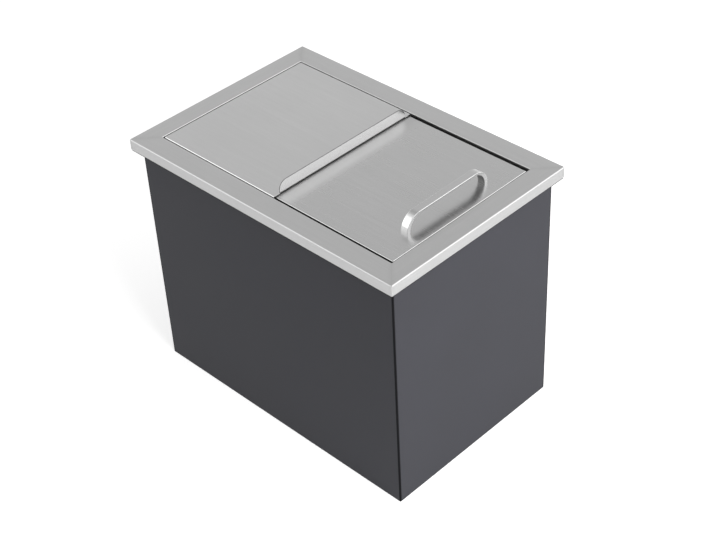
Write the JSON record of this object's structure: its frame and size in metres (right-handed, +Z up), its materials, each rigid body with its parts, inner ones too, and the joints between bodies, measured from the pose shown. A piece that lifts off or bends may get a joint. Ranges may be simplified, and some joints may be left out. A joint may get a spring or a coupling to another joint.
{
  "type": "drop-in ice bin",
  "caption": "Insulated steel ice bin that hangs by a flat rim in a worktop cut-out, with a fixed lid, a sliding lid with a bar handle, a sloped tub floor and a plugged drain.",
  "frame": {"origin": "centre of the underside of the case, on the surface it stands on", "axes": "+X along the long side towards the end with the handle, +Y across the short side towards the rear, +Z up"},
  "size_m": [0.52, 0.35, 0.43],
  "materials": {
    "satin_steel": "satin",
    "lid_steel": "satin",
    "tub_steel": "satin",
    "handle_steel": "gloss",
    "fitting_steel": "gloss",
    "dark_paint": "satin",
    "black_rubber": "matte",
    "black_foam_tape": "matte",
    "black_nylon": "satin",
    "foam": "matte"
  },
  "bodies": {
    "bin": {"rim_frame": "satin_steel", "rim_sealing_tape": "black_foam_tape", "lid_seat_frame": "tub_steel", "tub_walls": "tub_steel", "tub_floor": "tub_steel", "foam_insulation": "foam", "case_wrap": "dark_paint", "case_base": "dark_paint", "base_rivets": "dark_paint", "foam_port_plug": "black_rubber", "slide_rail_front": "black_nylon", "slide_rail_rear": "black_nylon", "end_rest_left": "black_nylon", "end_rest_right": "black_nylon", "stop_buffers": "black_rubber", "drain_flange": "fitting_steel", "drain_gasket": "black_rubber", "drain_locknut": "fitting_steel", "drain_strainer": "fitting_steel", "drain_spout": "black_nylon", "base_grommet": "black_rubber"},
    "fixed_lid": {"upper_lid": "lid_steel"},
    "sliding_lid": {"lower_lid": "lid_steel", "lid_handle": "handle_steel", "handle_screws": "fitting_steel", "handle_washers": "fitting_steel"},
    "plug": {"drain_plug": "black_rubber"}
  },
  "joints": [
    {"name": "lid_slide", "type": "slide", "parent": "bin", "child": "sliding_lid", "axis": [-1, 0, 0], "range_m": [0, 0.182]},
    {"name": "upper_lid_lift", "type": "slide", "parent": "bin", "child": "fixed_lid", "axis": [0, 0, 1], "range_m": [0, 0.08]},
    {"name": "plug_lift", "type": "slide", "parent": "bin", "child": "plug", "axis": [0, 0, 1], "range_m": [0, 0.25]}
  ]
}
